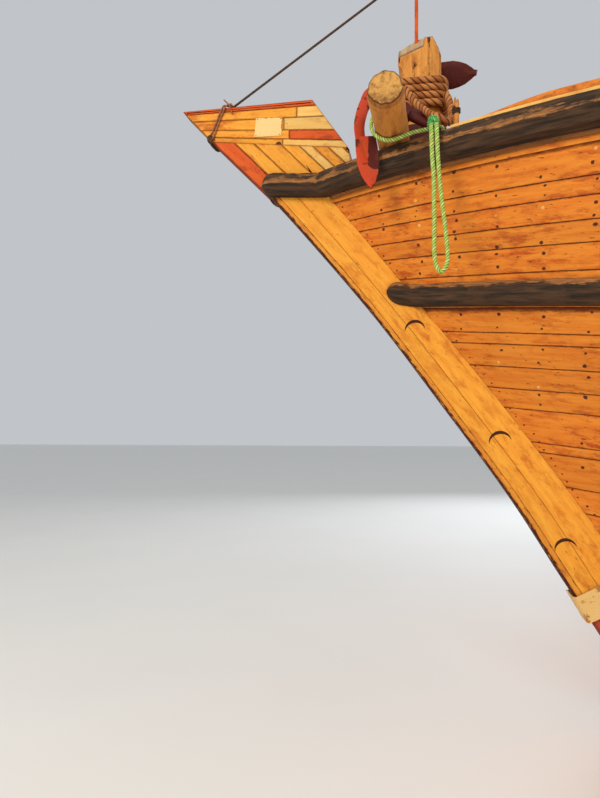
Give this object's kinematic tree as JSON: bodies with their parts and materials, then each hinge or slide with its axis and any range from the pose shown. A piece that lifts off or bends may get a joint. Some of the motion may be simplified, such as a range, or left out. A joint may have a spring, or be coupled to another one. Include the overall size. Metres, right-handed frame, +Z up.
{
  "type": "wooden dhow sailing boat",
  "caption": "Carvel-planked wooden dhow with a raked stem, dark rubbing strakes, raked mast with a furled lateen yard, transom stern, wheelhouse, rudder and propeller.",
  "frame": {"origin": "on the centreline amidships, at the height of the water when the boat floats empty", "axes": "+X runs forward to the bow, +Y to port, +Z up"},
  "size_m": [20.029, 6.0848, 14.6269],
  "materials": {
    "planking": "oiled orange timber, weathered, with plugged fastenings",
    "stem_timber": "oiled golden timber, chafed along the edge",
    "dark_timber": "weathered dark timber with worn arrises",
    "red_paint": "matt red bottom paint on timber",
    "cream_paint": "cream paint on timber",
    "deck_timber": "sun-bleached deck planking",
    "spar_timber": "oiled round spar",
    "grey_timber": "weathered grey timber",
    "house_paint": "cream house paint",
    "trim_paint": "faded green-blue paint",
    "rope": "laid brown rope",
    "green_line": "laid green plastic rope",
    "sail_cloth": "furled cotton canvas",
    "anchor_paint": "red paint, worn and rusty",
    "iron": "tarred iron",
    "wire": "weathered wire rope",
    "bronze": "cast bronze"
  },
  "bodies": {
    "hull": {"hull": "planking", "deck": "deck_timber", "bulwark_port": "planking", "bulwark_starboard": "planking", "rail_port": "dark_timber", "rail_starboard": "dark_timber", "strake_port": "dark_timber", "strake_starboard": "dark_timber", "boot_strip_port": "cream_paint", "boot_strip_starboard": "cream_paint", "cap_port": "planking", "cap_starboard": "planking", "stem": "stem_timber", "stem_head": "stem_timber", "name_board": "cream_paint", "stem_collar": "cream_paint", "keel": "red_paint", "transom": "planking", "sternpost": "red_paint", "rudder_iron_1": "iron", "rudder_iron_2": "iron", "rudder_iron_3": "iron", "shaft_boss": "iron", "platform": "deck_timber", "cross_log": "spar_timber", "bitt": "grey_timber", "bitt_rope": "rope", "staff": "spar_timber", "stanchion": "grey_timber", "anchor": "anchor_paint", "second_anchor": "anchor_paint", "mast": "spar_timber", "mast_partner": "deck_timber", "forestay": "wire", "shrouds_port": "wire", "shrouds_starboard": "wire", "hatch_coaming": "deck_timber", "house_sill": "trim_paint", "house_side_port": "house_paint", "house_side_starboard": "house_paint", "house_front": "house_paint", "house_back": "house_paint", "house_roof": "trim_paint", "helm_pedestal": "deck_timber", "log_lashing": "green_line", "green_bight": "green_line"},
    "rudder": {"rudder": "red_paint"},
    "propeller": {"propeller": "bronze"},
    "yard": {"yard": "spar_timber", "furled_sail": "sail_cloth"},
    "hatch_lid": {"hatch_lid": "deck_timber"},
    "house_door": {"house_door": "trim_paint"},
    "helm_wheel": {"helm_wheel": "spar_timber"}
  },
  "joints": [
    {"name": "rudder_turn", "type": "hinge", "parent": "hull", "child": "rudder", "pos_m": [-8.775, 0, 0], "axis": [-0.2696, 0, 0.963], "range_deg": [-35, 35]},
    {"name": "helm_turn", "type": "hinge", "parent": "hull", "child": "helm_wheel", "pos_m": [-6.3, 0, 3.9], "axis": [1, 0, 0], "range_deg": [-320, 320]},
    {"name": "propeller_spin", "type": "hinge", "parent": "hull", "child": "propeller", "pos_m": [-8.13, 0, -0.64], "axis": [1, 0, 0], "continuous": true},
    {"name": "yard_swing", "type": "hinge", "parent": "hull", "child": "yard", "pos_m": [1.15, 0, 2.69], "axis": [0.1191, 0, 0.9929], "range_deg": [-20, 20]},
    {"name": "hatch_lid_open", "type": "hinge", "parent": "hull", "child": "hatch_lid", "pos_m": [-2.25, -0.83, 2.85], "axis": [1, 0, 0], "range_deg": [0, 100]},
    {"name": "house_door_open", "type": "hinge", "parent": "hull", "child": "house_door", "pos_m": [-8.116, -0.49, 3], "axis": [0, 0, 1], "range_deg": [0, 100]}
  ],
  "couplings": [
    {"joint": "helm_turn", "follows": "rudder_turn", "ratio": 9}
  ]
}
